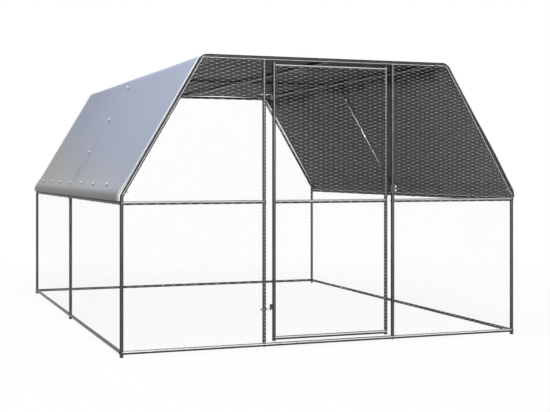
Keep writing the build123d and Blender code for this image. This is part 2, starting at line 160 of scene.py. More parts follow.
def narrow_spot(place, aim, angle, power):
    """A narrow lamp near the ground that shows only in shiny metal."""
    light = hung_light("SPOT", place, aim, power)
    light.data.spot_size = math.radians(angle)
    light.data.spot_blend = 0.4
    light.data.shadow_soft_size = 0.25
    light.visible_diffuse = False
    light.visible_camera = False


soft_box(place=(-1.8, -2.5, 7.0), aim=(0, 0, 0), width=2.5, height=2.5, power=370.0)
soft_box(place=(0.6, -13.0, 3.9), aim=(0, -2.0, 1.8), width=9.0, height=2.4, power=430.0)
strip = soft_box(place=(0.6, -13.0, 3.1), aim=(0, -2.0, 2.2), width=22.0, height=1.2, power=900.0)
strip.visible_diffuse = False
narrow_spot(place=(0.6, -6.0, 0.1), aim=(1.21, 0.0, 1.53), angle=4.8, power=8000.0)
narrow_spot(place=(0.74, -4.1, 0.1), aim=(1.10, 1.9875, 1.72), angle=6.0, power=7000.0)
bpy.context.scene.view_settings.view_transform = "Standard"

# Tube frame
# Legs, bows, rails, jambs and the door's frame: thin-walled steel tube, zinc coated in the strip before it
# was rolled and welded, then bent cold. The CAD tubes stay as they are and get the finish here.
SPANGLE_SIZE = 0.007143
STAIN_SIZE = 0.1111
STAIN_SHARE = 0.55


def galvanised_steel(name, colour, bright, rough, edge="#8A8A8A", painted_top_light=None, metal=0.9):
    """Zinc-coated steel: dull grey with a soft sheen and patches of spangle, and a painted highlight on top if
    given.
    """
    material, tree = bare_material(name)
    place = add(tree, "ShaderNodeTexCoord")
    # Zinc crystals are about 7 mm across and weather stains about 110 mm, both at their real size.
    spangle = add(tree, "ShaderNodeTexVoronoi", {"Vector": place.outputs["Object"]}, {"Scale": 1 / SPANGLE_SIZE})
    stain = add(tree, "ShaderNodeTexNoise", {"Vector": place.outputs["Object"]},
                {"Scale": 1 / STAIN_SIZE, "Detail": 4.0})
    patch = add(tree, "ShaderNodeMix", {"A": spangle.outputs["Color"], "B": stain.outputs["Fac"]},
                {"Factor": STAIN_SHARE}, data_type="FLOAT")
    tone = add(tree, "ShaderNodeValToRGB", {"Fac": patch.outputs[0]})
    for end, position, shade in zip(tone.color_ramp.elements, (0.25, 0.75), (colour, bright)):
        end.position = position
        end.color = linear(shade)
    colour_socket = tone.outputs[0]
    # Painted highlight: faces that look up are drawn paler, towards the colour given for it.
    if painted_top_light:
        upward = add(tree, "ShaderNodeSeparateXYZ", {"Vector": place.outputs["Normal"]})
        top_light_share = add(tree, "ShaderNodeMapRange", {"Value": upward.outputs["Z"]},
                      {"From Min": 0.02, "From Max": 0.45})
        top_lit_colour = add(tree, "ShaderNodeMix", {0: top_light_share.outputs[0], 6: tone.outputs[0]},
                    {7: linear(painted_top_light)}, data_type="RGBA")
        colour_socket = top_lit_colour.outputs[2]
    polish = add(tree, "ShaderNodeMapRange", {"Value": patch.outputs[0]},
                 {"To Min": rough - 0.06, "To Max": rough + 0.08})
    dents = add(tree, "ShaderNodeBump", {"Height": spangle.outputs["Distance"]},
                {"Strength": 0.04, "Distance": 0.0003})
    shader = add(tree, "ShaderNodeBsdfPrincipled",
                 {"Base Color": colour_socket, "Roughness": polish.outputs[0], "Normal": dents.outputs[0]},
                 {"Metallic": metal, "Specular Tint": linear(edge)})
    add(tree, "ShaderNodeOutputMaterial", {"Surface": shader.outputs[0]})
    return material


def dress(piece, *finishes):
    """Give a piece its materials in place of those it had."""
    piece.data.materials.clear()
    for finish in finishes:
        piece.data.materials.append(finish)


# Upright tube: dark grey zinc with a narrow glint along it.
tube_steel = galvanised_steel("galvanised_steel_tube", "#404142", "#505153", 0.33)
# Bows, side eave rails, lugs and the two left legs behind: zinc gone matt, drawn darker as painted shade, nearly
# without glint.
bow_steel = galvanised_steel("shade_darkened_galvanised_bow", "#363738", "#464748", 0.33, metal=0.35)
# The middle bow and the side bottom rails: matt too, drawn a lighter grey as painted light, against the shade
# they sit in.
shade_lifted_steel = galvanised_steel("dull_galvanised_tube", "#505153", "#606163", 0.33, metal=0.35)
# Roof rails below the cover: the palest of the matt tubes, drawn light as painted light against the shade under
# the cover.
ridge_steel = galvanised_steel("shade_lifted_roof_tube", "#58595B", "#68696B", 0.33, metal=0.35)
# Level tubes of the front and the door: dark below, with a painted highlight that pales their upward faces.
rail_steel = galvanised_steel("galvanised_steel_rail", "#38393A", "#484A4B", 0.33, painted_top_light="#B2B4B6")
TUBE_ENDS = ("_leg", "_bow", "_jamb", "_stile", "_rail", "_rail_front", "_rail_rear", "_rail_left",
             "_rail_right", "_lug")
SHADE_DARKENED_TUBES = ("_bow", "left_eave", "right_eave", "_lug", "mid_left", "rear_left")
# Each tube gets one of five copies of one zinc; all but the upright tube's carry painted light or shade.
for name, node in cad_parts.items():
    if not name.endswith(TUBE_ENDS):
        continue
    if "roof_rail" in name:
        dress(node, ridge_steel)
    elif name == "mid_bow" or "_bottom_rail_" in name:
        dress(node, shade_lifted_steel)
    elif any(mark in name for mark in SHADE_DARKENED_TUBES):
        dress(node, bow_steel)
    elif "_rail" in name and name.startswith(("front_", "door_")):
        dress(node, rail_steel)
    else:
        dress(node, tube_steel)

# Fasteners, hinge eyes and latch
# Bolts, nuts, studs, eye bolts and the pressed latch: mild steel, zinc plated after forming. The CAD pieces
# stay as they are and get one of four stages of wear here.

# Slope and latch bolts are new and smooth, and catch the light as small bright dots.
bright_zinc = galvanised_steel("bright_zinc_plate", "#A6A8AA", "#BEC0C2", 0.26)
# Rail bolts, studs and plugs have gone as dull and dark as the tubes they sit in.
dull_zinc = galvanised_steel("dull_zinc_plate", "#4C4E50", "#626466", 0.38)
# The pressed strap is scuffed from its tool, so it is dark with hardly a glint.
pressed_zinc = galvanised_steel("pressed_zinc_strap", "#404143", "#4E4F51", 0.45)
# Hinge eyes and their nuts are rubbed by the turning lugs to a mid grey with a soft glint.
eye_zinc = galvanised_steel("worn_zinc_plate", "#76787A", "#8A8C8E", 0.32)
finishes = {bright_zinc: ("slope_bolts", "slope_nuts", "latch_bolts", "latch_nuts"),
            dull_zinc: ("frame_bolts", "mid_studs", "tube_plugs", "latch_pin"),
            pressed_zinc: ("latch_collar", "latch_flap"),
            eye_zinc: ("hinge_eye_bolts", "hinge_nuts")}
for finish, names in finishes.items():
    for name in names:
        dress(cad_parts[name], finish)

# Door welds
# A run of weld round each place where a rail of the door is butted on a stile. The weld burnt the zinc off,
# so it was brushed and painted over with zinc paint. It follows the saddle that the two tubes make.
BEAD_RADIUS = 0.0013
TUBE_RADIUS = 0.0125
# Zinc paint: flat mid grey, a little lighter and rougher than the tubes beside it.
weld_zinc = galvanised_steel("zinc_painted_weld", "#5C5D5F", "#6E7072", 0.5)


def pick(piece):
    """Select a piece alone and make it active."""
    deselect()
    piece.select_set(True)
    bpy.context.view_layer.objects.active = piece


def settle(piece):
    """Put the piece's place and turn into its mesh."""
    pick(piece)
    bpy.ops.object.transform_apply(location=True, rotation=True, scale=True)


def copy_of(piece):
    """A copy of a piece with a mesh of its own."""
    pick(piece)
    bpy.ops.object.duplicate()
    return bpy.context.object


def join(pieces, name):
    """Join pieces into one object."""
    deselect()
    for piece in pieces:
        piece.select_set(True)
    bpy.context.view_layer.objects.active = pieces[0]
    bpy.ops.object.join()
    pieces[0].name = name
    return pieces[0]


def middle(name):
    """Middle of a CAD node's box."""
    low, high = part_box(name)
    return (Vector(low) + Vector(high)) / 2


deselect()
bpy.ops.mesh.primitive_torus_add(major_radius=TUBE_RADIUS, minor_radius=BEAD_RADIUS, major_segments=32,
                                 minor_segments=8, location=(0, 0, 0), rotation=(0, math.pi / 2, 0))
bead = bpy.context.object
settle(bead)
for vertex in bead.data.vertices:
    vertex.co.x += TUBE_RADIUS * abs(Vector((vertex.co.y, vertex.co.z)).normalized().y)
bpy.ops.object.shade_smooth()
beads = []
for stile, turn in (("door_left_stile", 0.0), ("door_right_stile", math.pi)):
    for rail in ("door_bottom_rail", "door_mid_rail", "door_top_rail"):
        run = copy_of(bead)
        run.location = (middle(stile).x, middle(stile).y, middle(rail).z)
        run.rotation_euler = (0, 0, turn)
        settle(run)
        beads.append(run)
bpy.data.objects.remove(bead)
welds = join(beads, "door_welds")
dress(welds, weld_zinc)
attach(welds, "door")

# Wire netting
# Hexagonal netting of galvanised wire, twisted in pairs along each flat of the cells, with the wires lying
# level. Each panel is cut to its bay, laid on the outside of the tubes and laced to them.
CELL_PITCH = 0.0253
TWIST_LENGTH = 0.014
SLANT_RUN = 0.024
COLUMN = TWIST_LENGTH + SLANT_RUN
# Real wire is about 0.8 mm. The single wires are drawn thinner and the twists thicker, so that the net is as
# pale against white, and shows as well against the dark cloth, as in the photograph.
WIRE_RADIUS = 0.00015
WIRE_SIDES = 3
TWIST_RADIUS = 0.00115
TWIST_SIDES = 4
TWIST_STEPS = 3
TWIST_TURNS = 0.75
TWIST_FLATNESS = 0.5
SELVEDGE_RADIUS = 0.0015
# New netting wire: the brightest zinc here, nearly white wherever it catches the light.
wire_zinc = galvanised_steel("galvanised_netting_wire", "#EDEEEF", "#F8F8F8", 0.30, edge="#FFFFFF", metal=1.0)


def apply_all(piece):
    """Apply every modifier of a piece."""
    pick(piece)
    for modifier in list(piece.modifiers):
        bpy.ops.object.modifier_apply(modifier=modifier.name)


def wire_twist(x, z):
    """Two wires wound round each other, as a flattened bar turned on itself."""
    deselect()
    bpy.ops.mesh.primitive_cylinder_add(vertices=TWIST_SIDES, radius=TWIST_RADIUS, depth=TWIST_LENGTH,
                                        end_fill_type="NOTHING", location=(x, 0, z),
                                        rotation=(0, math.pi / 2, 0))
    piece = bpy.context.object
    settle(piece)
    bpy.ops.object.mode_set(mode="EDIT")
    for i in range(1, TWIST_STEPS):
        bpy.ops.mesh.select_all(action="SELECT")
        bpy.ops.mesh.bisect(plane_co=(x + TWIST_LENGTH * (i / TWIST_STEPS - 0.5), 0, z), plane_no=(1, 0, 0))
    bpy.ops.object.mode_set(mode="OBJECT")
    for vertex in piece.data.vertices:
        along = (vertex.co.x - x) / TWIST_LENGTH + 0.5
        flat = Vector((0, vertex.co.y, (vertex.co.z - z) * TWIST_FLATNESS))
        flat.rotate(Matrix.Rotation(along * 2 * math.pi * TWIST_TURNS, 3, "X"))
        vertex.co.y = flat.y
        vertex.co.z = z + flat.z
    return piece


def straight_wire(start, end, radius=WIRE_RADIUS):
    """Straight wire, such as the single one from one twist to the next."""
    deselect()
    run = Vector(end) - Vector(start)
    bpy.ops.mesh.primitive_cylinder_add(vertices=WIRE_SIDES, radius=radius, depth=run.length,
                                        end_fill_type="NOTHING", location=(Vector(start) + Vector(end)) / 2,
                                        rotation=run.to_track_quat("Z", "Y").to_euler())
    piece = bpy.context.object
    settle(piece)
    return piece


half_twist = TWIST_LENGTH / 2
half_pitch = CELL_PITCH / 2
unit = [wire_twist(0, 0), wire_twist(COLUMN, half_pitch)]
for side in (-1, 1):
    unit.append(straight_wire((half_twist, 0, 0), (half_twist + SLANT_RUN, 0, side * half_pitch)))
    unit.append(straight_wire((COLUMN + half_twist, 0, half_pitch),
                              (2 * COLUMN - half_twist, 0, half_pitch * (1 + side))))
net_unit = join(unit, "netting_repeat")


def repeat(piece, name, step, count):
    """Repeat a piece by steps, as a modifier."""
    rows = piece.modifiers.new(name, "ARRAY")
    rows.use_relative_offset = False
    rows.use_constant_offset = True
    rows.constant_offset_displace = step
    rows.count = count


def netting(name, outline, plane, bound, onward=()):
    """Netting over an outline in its own plane, cut to it, with a border wire on the bound edges and onward."""
    us = [u for u, v in outline]
    vs = [v for u, v in outline]
    net = copy_of(net_unit)
    net.name = name
    repeat(net, "across", (2 * COLUMN, 0, 0), math.ceil((max(us) - min(us)) / (2 * COLUMN)) + 1)
    repeat(net, "upward", (0, 0, CELL_PITCH), math.ceil((max(vs) - min(vs)) / CELL_PITCH) + 1)
    apply_all(net)
    net.location = (min(us), 0, min(vs) - half_pitch)
    settle(net)
    bpy.ops.object.mode_set(mode="EDIT")
    for here, there in zip(outline, outline[1:] + outline[:1]):
        along = Vector(there) - Vector(here)
        bpy.ops.mesh.select_all(action="SELECT")
        bpy.ops.mesh.bisect(plane_co=(here[0], 0, here[1]), plane_no=(along.y, 0, -along.x), clear_outer=True)
    bpy.ops.object.mode_set(mode="OBJECT")
    runs = [(outline[index], outline[(index + 1) % len(outline)]) for index in bound] + list(onward)
    selvedge = [straight_wire((u, 0, v), (p, 0, q), SELVEDGE_RADIUS) for (u, v), (p, q) in runs]
    net = join([net] + selvedge, name)
    net.matrix_world = plane
    settle(net)
    dress(net, wire_zinc)
    bpy.ops.object.shade_flat()
    return net


low_front, high_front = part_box("front_left_net")
_, high_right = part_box("front_right_net")
low_door, high_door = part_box("door_net")
low_rear, high_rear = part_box("rear_net")
low_side, high_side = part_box("left_net")
low_right_side, high_right_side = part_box("right_net")
front_y = (low_front[1] + high_front[1]) / 2
rear_y = (low_rear[1] + high_rear[1]) / 2
side_x = (low_right_side[0] + high_right_side[0]) / 2
front_plane = Matrix.Translation((0, front_y, 0))
rear_plane = Matrix.Translation((0, rear_y, 0))

# Where the slope's border wire starts on the leg and ends at the top. On the left it lies further out.
BEND_HEIGHT = 1.0497
FLAT_HALF = 0.9247
LEFT_BEND_HEIGHT = 1.0738
LEFT_FLAT_HALF = 0.9341
FOOT_EDGE = 0.036
RIGHT_EDGE = 0.4995
left_outline = [(low_front[0], FOOT_EDGE), (high_front[0], FOOT_EDGE), (high_front[0], high_front[2]),
                (-LEFT_FLAT_HALF, high_front[2]), (low_front[0], LEFT_BEND_HEIGHT)]
right_outline = [(RIGHT_EDGE, FOOT_EDGE), (high_right[0], FOOT_EDGE), (high_right[0], BEND_HEIGHT),
                 (FLAT_HALF, high_right[2]), (RIGHT_EDGE, high_right[2])]

# The door's net stops short of the hinge stile, and its lower edge lies on the middle of the bottom rail.
DOOR_EDGE = -0.4140
DOOR_FOOT = low_door[2] + 0.009
door_outline = [(DOOR_EDGE, DOOR_FOOT), (high_door[0], DOOR_FOOT), (high_door[0], high_door[2]),
                (DOOR_EDGE, high_door[2])]
over_door = [(left_outline[2], right_outline[4])]
panels = [("front_left_netting", left_outline, front_plane, (0, 2, 3), "front_left_net", "frame"),
          ("front_right_netting", right_outline, front_plane, (0, 2, 3), "front_right_net", "frame"),
          ("door_netting", door_outline, front_plane, (0, 2), "door_net", "door")]

# The rear is netted in two widths that meet in the middle.
rear_half = [(0.0, low_rear[2]), (high_rear[0], low_rear[2]), (high_rear[0], BEND_HEIGHT),
             (FLAT_HALF, high_rear[2]), (0.0, high_rear[2])]
mirrored = [(-u, v) for u, v in reversed(rear_half)]
panels += [("rear_netting_right", rear_half, rear_plane, (0, 2, 3), "rear_net", "frame"),
           ("rear_netting_left", mirrored, rear_plane, (0, 1, 3), "rear_net", "frame")]

# The side nets end on the lower half of the side eave rails, below the hem of the cover.
SIDE_TOP = 1.008
side_outline = [(low_side[1], low_side[2]), (high_side[1], low_side[2]), (high_side[1], SIDE_TOP),
                (low_side[1], SIDE_TOP)]
for hand, side in (("left", -1), ("right", 1)):
    side_plane = Matrix.Translation((side * side_x, 0, 0)) @ Matrix.Rotation(math.pi / 2, 4, "Z")
    panels.append((f"{hand}_side_netting", side_outline, side_plane, (), f"{hand}_net", "frame"))
for name, outline, plane, bound, node, body in panels:
    net = netting(name, outline, plane, bound, over_door if name == "front_left_netting" else ())
    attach(net, body)
    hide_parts(node)
bpy.data.objects.remove(net_unit)

# Roof cover
# One sheet of coated polyethylene cloth, silver grey outside, its inner face dark in painted shade, pulled over
# the hoops from eave to eave. It is tied down along the eaves and the middle hoop, and stands a little slack
# between.
HALF_WIDTH = 1.4875
BEND_AXIS = 1.062
TOP_AXIS = 2.005
TOP_HALF = 0.930
COVER_OFF = 0.0162
COVER_END = 1.9855
HEM_EDGE = 1.0285
CLOTH_THICKNESS = 0.0012
EAVE_RADIUS = 0.100
CORNER_RADIUS = 0.076
slope_down = Vector((HALF_WIDTH - TOP_HALF, BEND_AXIS - TOP_AXIS)).normalized()
slope_out = Vector((-slope_down.y, slope_down.x))
upward = Vector((0, 1))
sideways = Vector((1, 0))


def beside(point, first, second):
    """The corner of the cloth's line beside a bend of the tube, from the ways out on both sides of it."""
    return Vector(point) + (first + second) * COVER_OFF / (1 + first.dot(second))


eave_bend = beside((HALF_WIDTH, BEND_AXIS), slope_out, sideways)
top_bend = beside((TOP_HALF, TOP_AXIS), upward, slope_out)
slope_length = (eave_bend - top_bend).length

# The cloth's line round the hoops, with fine steps near the eave, where it bulges.
FINE_REACH = 0.150
FINE_STEP = 0.007
PLAIN_STEP = 0.028
ARC_STEPS = 8


def straight(start, end, step):
    """Points from start up to, but not at, end, each with the way out."""
    run = end - start
    out = Vector((-run.y, run.x)).normalized()
    count = math.ceil(run.length / step)
    return [(start + run * k / count, out) for k in range(count)]


def rounded(bend, radius, before, after):
    """Points round a bend of the cloth, each with the way out, and where the arc starts and ends."""
    angle = before.angle(after)
    reach = radius * math.tan(angle / 2)
    start = bend + Vector((before.y, -before.x)) * -reach
    centre = start - before * radius
    arc = []
    for k in range(ARC_STEPS):
        out = before.copy()
        out.rotate(Matrix.Rotation(-angle * k / ARC_STEPS, 2))
        arc.append((centre + out * radius, out))
    return start, arc, bend + Vector((after.y, -after.x)) * reach


top_start, top_arc, top_end = rounded(top_bend, CORNER_RADIUS, upward, slope_out)
eave_start, eave_arc, eave_end = rounded(eave_bend, EAVE_RADIUS, slope_out, sideways)
fine_start = eave_bend - slope_down * FINE_REACH
hem = Vector((HALF_WIDTH + COVER_OFF, HEM_EDGE))
half_line = straight(Vector((0, TOP_AXIS + COVER_OFF)), top_start, PLAIN_STEP) + top_arc
half_line += straight(top_end, fine_start, PLAIN_STEP) + straight(fine_start, eave_start, FINE_STEP) + eave_arc
half_line += straight(eave_end, hem, FINE_STEP) + [(hem, sideways)]
cloth_line = [(Vector((-p.x, p.y)), Vector((-o.x, o.y))) for p, o in reversed(half_line[1:])] + half_line
girth = [0.0]
for (here, _), (there, _) in zip(cloth_line, cloth_line[1:]):
    girth.append(girth[-1] + (there - here).length)

# Ties hold the cloth to its line along the eaves and down the middle hoop.
HOOP_SPACING = 1.9875
TIE_REACH = 0.068
TIE_HOLD = 0.024
TIE_FIRST = -1.440
TIE_SPACING = 0.512
BOW_TIE_Y = 0.0152
BOW_TIE_FIRST = 0.095
BOW_TIE_SPACING = 0.320
eave_ties = [TIE_FIRST + i * TIE_SPACING for i in range(7)]
bow_ties = [BOW_TIE_FIRST + i * BOW_TIE_SPACING for i in range(3)]

# How far the cloth stands off, and over what reach. It puffs out over the eaves, less so by the hoops. By the
# middle hoop a groove with raised banks runs up from the eave, shallower on the right. Two faint creases cross
# the rear bay.
EAVE_PUFF = 0.012
PUFF_ABOVE = 0.095
PUFF_BELOW = 0.060
PUFF_BY_HOOP = 0.75
GROOVE_Y = 0.010
GROOVE_WIDTH = 0.016
BANK_WIDTH = 0.065
RIGHT_GROOVE = 0.35
GROOVE_RUNS = (dict(height=0.023, middle=0.22, reach=0.15), dict(height=0.006, middle=0.55, reach=0.20))
CREASES = (dict(height=0.004, y=1.15, lean=0.2, level=0.50, width=0.030, middle=0.50, reach=0.26),
           dict(height=-0.003, y=0.62, lean=0.3, level=0.30, width=0.028, middle=0.32, reach=0.20))

# Between hoops the cloth sags, on the flat top from ridge to corner rail. Its end edges on the right slope, and
# the rear one on the flat top, hang loose. A skew moves the loosest place down or up the slope.
TOP_SAG = 0.008
TOP_SPAN = 0.845
SLOPE_SAG = 0.009
REAR_LIFT = 0.008
REAR_LIFT_REACH = 0.10
END_REACH = 0.14
FRONT_LOOSE = dict(height=0.012, skew=2.2)
REAR_LOOSE = dict(height=0.009, skew=0.65)
BROAD_WAVE = 0.004
BROAD_WAVES = dict(down=1.9, lean=0.0, along=1.5, hand=5.1)
FINE_WAVE = 0.0016
FINE_WAVES = dict(down=2.0, lean=-1.3, along=6.5, hand=5.0)
FINE_WAVE_MIDDLE = 0.35
FINE_WAVE_REACH = 0.35


def hill(distance, width):
    """A smooth bump, 1 at its middle."""
    return math.exp(-(distance / width) ** 2)


def folds(y, from_eave, side):
    """The groove by the middle hoop and the creases."""
    groove = hill(y - GROOVE_Y, BANK_WIDTH) - hill(y - GROOVE_Y, GROOVE_WIDTH)
    depth = sum(run["height"] * hill(from_eave - run["middle"], run["reach"]) for run in GROOVE_RUNS)
    off = groove * depth * (1.0 if side < 0 else RIGHT_GROOVE)
    for crease in CREASES:
        line = crease["y"] + crease["lean"] * (from_eave - crease["level"])
        along = hill(from_eave - crease["middle"], crease["reach"])
        off += crease["height"] * hill(y - line, crease["width"]) * along
    return off


def ripple(below, y, side, down, lean, along, hand):
    """Uneven waves, -1 to 1, with as many to the metre down the slope and along it as given."""
    return noise.noise(Vector((below * down + y * lean, y * along, side * hand)))


def slack(point, y, side):
    """How far the cloth stands off its stretched line at a point of that line."""
    below = (Vector((abs(point.x), point.y)) - top_bend).dot(slope_down)
    from_eave = slope_length - below
    bay = math.sin(math.pi * y / HOOP_SPACING) ** 2
    puff = EAVE_PUFF * hill(from_eave, PUFF_ABOVE if from_eave > 0 else PUFF_BELOW)
    puff *= PUFF_BY_HOOP + (1 - PUFF_BY_HOOP) * bay
    if side > 0:
        puff *= 1 - hill(y - COVER_END, END_REACH)
    off = puff + folds(y, from_eave, side)
    on_slope = below > 0 and from_eave > 0
    if point.y > TOP_AXIS:
        across = math.sin(math.pi * point.x / TOP_SPAN) ** 2
        off += across * (REAR_LIFT * hill(y - COVER_END, REAR_LIFT_REACH) - TOP_SAG * bay)
    elif on_slope:
        off -= SLOPE_SAG * bay * math.sin(math.pi * below / slope_length)
    if side > 0 and on_slope:
        loose = FRONT_LOOSE if y < 0 else REAR_LOOSE
        belly = math.sin(math.pi * (below / slope_length) ** loose["skew"])
        off += loose["height"] * hill(abs(y) - COVER_END, END_REACH) * belly
    broad = ripple(below, y, side, **BROAD_WAVES)
    fine = ripple(below, y, side, **FINE_WAVES) * hill(from_eave - FINE_WAVE_MIDDLE, FINE_WAVE_REACH)
    off += (BROAD_WAVE * broad + FINE_WAVE * fine) * bay
    held = 1.0
    for tie in eave_ties:
        held = min(held, 1 - hill(math.hypot(y - tie, from_eave - TIE_REACH), TIE_HOLD))
    for tie in bow_ties:
        held = min(held, 1 - hill(math.hypot(y - BOW_TIE_Y, below - tie), TIE_HOLD))
    return off * held


def placed_grid(name, columns, rows, where):
    """A grid whose points are put where a function says, by column and row, with its UV in metres."""
    deselect()
    bpy.ops.mesh.primitive_grid_add(x_subdivisions=columns - 1, y_subdivisions=rows - 1, size=1.0)
    piece = bpy.context.object
    piece.name = name
    spread = piece.data.uv_layers.active
    spots = [where(i, j) for j in range(rows) for i in range(columns)]
    for vertex, (co, _) in zip(piece.data.vertices, spots):
        vertex.co = co
    for loop in piece.data.loops:
        spread.data[loop.index].uv = spots[loop.vertex_index][1]
    bpy.ops.object.mode_set(mode="EDIT")
    bpy.ops.mesh.select_all(action="SELECT")
    bpy.ops.mesh.normals_make_consistent(inside=False)
    bpy.ops.object.mode_set(mode="OBJECT")
    bpy.ops.object.shade_smooth()
    return piece


# Rows of the cloth from front to rear, close together by the groove and the ties.
GROOVE_STEP = 0.007
GROOVE_ZONE = 0.120
TIE_STEP = 0.013
TIE_ZONE = 0.060
BAY_STEP = 0.030
cloth_rows = [-COVER_END]
while cloth_rows[-1] < COVER_END - BAY_STEP:
    here = cloth_rows[-1]
    by_tie = min(abs(here - tie) for tie in eave_ties) < TIE_ZONE
    cloth_rows.append(here + (GROOVE_STEP if abs(here) < GROOVE_ZONE else TIE_STEP if by_tie else BAY_STEP))
cloth_rows.append(COVER_END)


def cloth_spot(i, j):
    """A point of the cover by its column round the hoops and its row from front to rear."""
    point, out = cloth_line[i]
    y = cloth_rows[j]
    off = slack(point, y, math.copysign(1, point.x))
    return (point.x + out.x * off, y, point.y + out.y * off), (girth[i], y + COVER_END)


# The weave's tapes are about 2.5 mm wide, drawn at that size, so their ribs show only from close by. A wave
# texture makes ten waves in each length of pi.
TAPE_WIDTH = 0.0025
TAPE_WAVES = math.pi / 10 / TAPE_WIDTH
RAMP_PATCH = 0.4
RAMP_PATCH_SHARE = 0.25
RAMP_FOOT = 1.024
LOW_BAND_FULL = 1.069
LOW_BAND_END = 1.109
HEM_WIDTH = 0.045
HEM_BLUR = 0.002


def coated_cloth(name, high, low, hem, rough, gloss, light_ramp=(0.12, 0.55), tilt=-0.12, tape=None):
    """Woven polyethylene tape with a smooth coating: a soft sheen, the ribs of the weave, and painted light and
    shade by height.
    """
    material, tree = bare_material(name)
    place = add(tree, "ShaderNodeTexCoord")
    height = add(tree, "ShaderNodeSeparateXYZ", {"Vector": place.outputs["Object"]})
    lean = add(tree, "ShaderNodeMath", {0: height.outputs["Y"], 2: height.outputs["Z"]}, {1: tilt},
               operation="MULTIPLY_ADD")
    # Painted light and shade: the colour runs from low to high with height, broken by random patches.
    share = add(tree, "ShaderNodeMapRange", {"Value": lean.outputs[0]},
                {"From Min": RAMP_FOOT, "From Max": TOP_AXIS})
    cloud = add(tree, "ShaderNodeTexNoise", {"Vector": place.outputs["Object"]},
                {"Scale": 1 / RAMP_PATCH, "Detail": 3.0})
    ramp_share = add(tree, "ShaderNodeMix", {2: share.outputs[0], 3: cloud.outputs["Fac"]}, {0: RAMP_PATCH_SHARE},
                data_type="FLOAT")
    tone = add(tree, "ShaderNodeValToRGB", {"Fac": ramp_share.outputs[0]})
    for end, position, shade in zip(tone.color_ramp.elements, light_ramp, (low, high)):
        end.position = position
        end.color = linear(shade)
    # A darker grey along the eave: the hem colour below 1.069 m, blending into the rest by 1.109 m.
    low_band = add(tree, "ShaderNodeMapRange", {"Value": height.outputs["Z"]},
                 {"From Min": LOW_BAND_FULL, "From Max": LOW_BAND_END})
    cloth_colour = add(tree, "ShaderNodeMix", {0: low_band.outputs[0], 7: tone.outputs[0]}, {6: linear(hem)},
               data_type="RGBA")
    # The welded strip at both end edges: near white, its own colour and a painted highlight along the edge.
    if tape:
        reach = add(tree, "ShaderNodeMath", {0: height.outputs["Y"]}, operation="ABSOLUTE")
        welded = add(tree, "ShaderNodeMapRange", {"Value": reach.outputs[0]},
                     {"From Min": COVER_END - HEM_WIDTH, "From Max": COVER_END - HEM_WIDTH + HEM_BLUR})
        cloth_colour = add(tree, "ShaderNodeMix", {0: welded.outputs[0], 6: cloth_colour.outputs[2]}, {7: linear(tape)},
                   data_type="RGBA")
    warp = add(tree, "ShaderNodeTexWave", {"Vector": place.outputs["UV"]}, {"Scale": TAPE_WAVES},
               bands_direction="X")
    weft = add(tree, "ShaderNodeTexWave", {"Vector": place.outputs["UV"]}, {"Scale": TAPE_WAVES},
               bands_direction="Y")
    weave = add(tree, "ShaderNodeMath", {0: warp.outputs["Fac"], 1: weft.outputs["Fac"]}, operation="MULTIPLY")
    relief = add(tree, "ShaderNodeBump", {"Height": weave.outputs[0]}, {"Strength": 0.15, "Distance": 0.0004})
    shader = add(tree, "ShaderNodeBsdfPrincipled", {"Base Color": cloth_colour.outputs[2], "Normal": relief.outputs[0]},
                 {"Roughness": rough, "Specular IOR Level": gloss})
    add(tree, "ShaderNodeOutputMaterial", {"Surface": shader.outputs[0]})
    return material


# Silver coating: plain grey low down and bluish grey high up with a broad painted sheen, darker grey along the
# eave, and nearly white along the welded strip at both ends, which is also a painted highlight along the edge.
silver_cloth = coated_cloth("silver_coated_cloth", "#97A1BA", "#A8A8A5", "#7D7E7C", 0.47, 0.42, (0.10, 0.50),
                            tape="#EEF0F4")
# Inner face: matt, in painted shade: drawn dark on the flat top and a lighter grey on the slopes.
backing = coated_cloth("shade_painted_backing_cloth", "#3E3E41", "#B8B8BB", "#B8B8BB", 0.65, 0.08, (0.80, 0.86), 0.0)
cover = placed_grid("cover_sheet", len(cloth_line), len(cloth_rows), cloth_spot)
dress(cover, silver_cloth, backing)
thick = cover.modifiers.new("cloth", "SOLIDIFY")
thick.thickness = CLOTH_THICKNESS
thick.offset = 0.0
thick.material_offset = 1
apply_all(cover)
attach(cover, "frame")
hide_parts("roof_cover")

# Edge rolls of the cover
# Along its front and rear edges the cloth is folded round a rope and welded, which stops it tearing there.
# The fold's outward faces are pale, a painted highlight along the edge, and the rest shows the shade-painted
# inner face.
ROLL_RADIUS = 0.0030
ROLL_SIDES = 7
HIGHLIGHT_ABOVE = 0.3
# Welded hem: pressed smooth and drawn pale, a painted highlight that makes a thin light line along the edge.
edge_highlight_cloth = coated_cloth("highlight_painted_hem", "#E2E4EA", "#E0E0E2", "#DCDCDE", 0.5, 0.5)


def roll_spot(row, i, j):
    """A point on the roll round the edge of the cloth, by the row of that edge."""
    (x, y, z), (u, _) = cloth_spot(i, row)
    out = cloth_line[i][1]
    turn = 2 * math.pi * j / (ROLL_SIDES - 1)
    lift = math.cos(turn) * ROLL_RADIUS
    return (x + out.x * lift, y + math.sin(turn) * ROLL_RADIUS, z + out.y * lift), (u, turn * ROLL_RADIUS)


